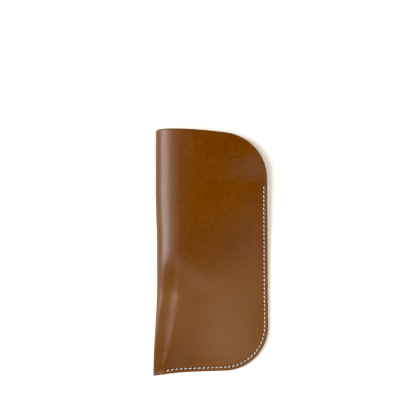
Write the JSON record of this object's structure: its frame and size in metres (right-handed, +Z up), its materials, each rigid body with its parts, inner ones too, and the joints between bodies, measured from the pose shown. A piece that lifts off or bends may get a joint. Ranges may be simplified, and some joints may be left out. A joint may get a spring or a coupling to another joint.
{
  "type": "soft pouch glasses case",
  "caption": "Slim leather sleeve for glasses, folded down one side and stitched down the other, lying flat with a rounded open mouth.",
  "frame": {"origin": "middle of the sleeve as seen from above, on the surface that it lies on", "axes": "+X across the sleeve from the fold to the seam, +Y along it towards the open mouth, +Z up through its thickness"},
  "size_m": [0.0822, 0.1758, 0.0156],
  "materials": {
    "tan_leather": "smooth, satin",
    "suede_lining": "matte suede",
    "linen_thread": "matte",
    "edge_paint": "satin"
  },
  "bodies": {
    "pouch": {"leather_pouch": "tan_leather", "lining_pouch": "suede_lining", "needle_thread": "linen_thread", "bobbin_thread": "linen_thread", "seam_edge_coat": "edge_paint", "mouth_edge_coat_pouch": "edge_paint"},
    "front_lip": {"leather_front_lip": "tan_leather", "lining_front_lip": "suede_lining", "mouth_edge_coat_front_lip": "edge_paint"},
    "back_lip": {"leather_back_lip": "tan_leather", "lining_back_lip": "suede_lining", "mouth_edge_coat_back_lip": "edge_paint"}
  },
  "joints": [
    {"name": "front_lip_bend", "type": "hinge", "parent": "pouch", "child": "front_lip", "pos_m": [0.0095, 0.069, 0.013], "axis": [0.8519, -0.5139, -0.101], "range_deg": [-3, 40], "stiffness_Nm_per_rad": 0.02},
    {"name": "back_lip_bend", "type": "hinge", "parent": "pouch", "child": "back_lip", "pos_m": [0.0095, 0.069, 0.00044], "axis": [-0.8548, 0.5156, -0.0594], "range_deg": [-3, 40], "stiffness_Nm_per_rad": 0.02}
  ]
}
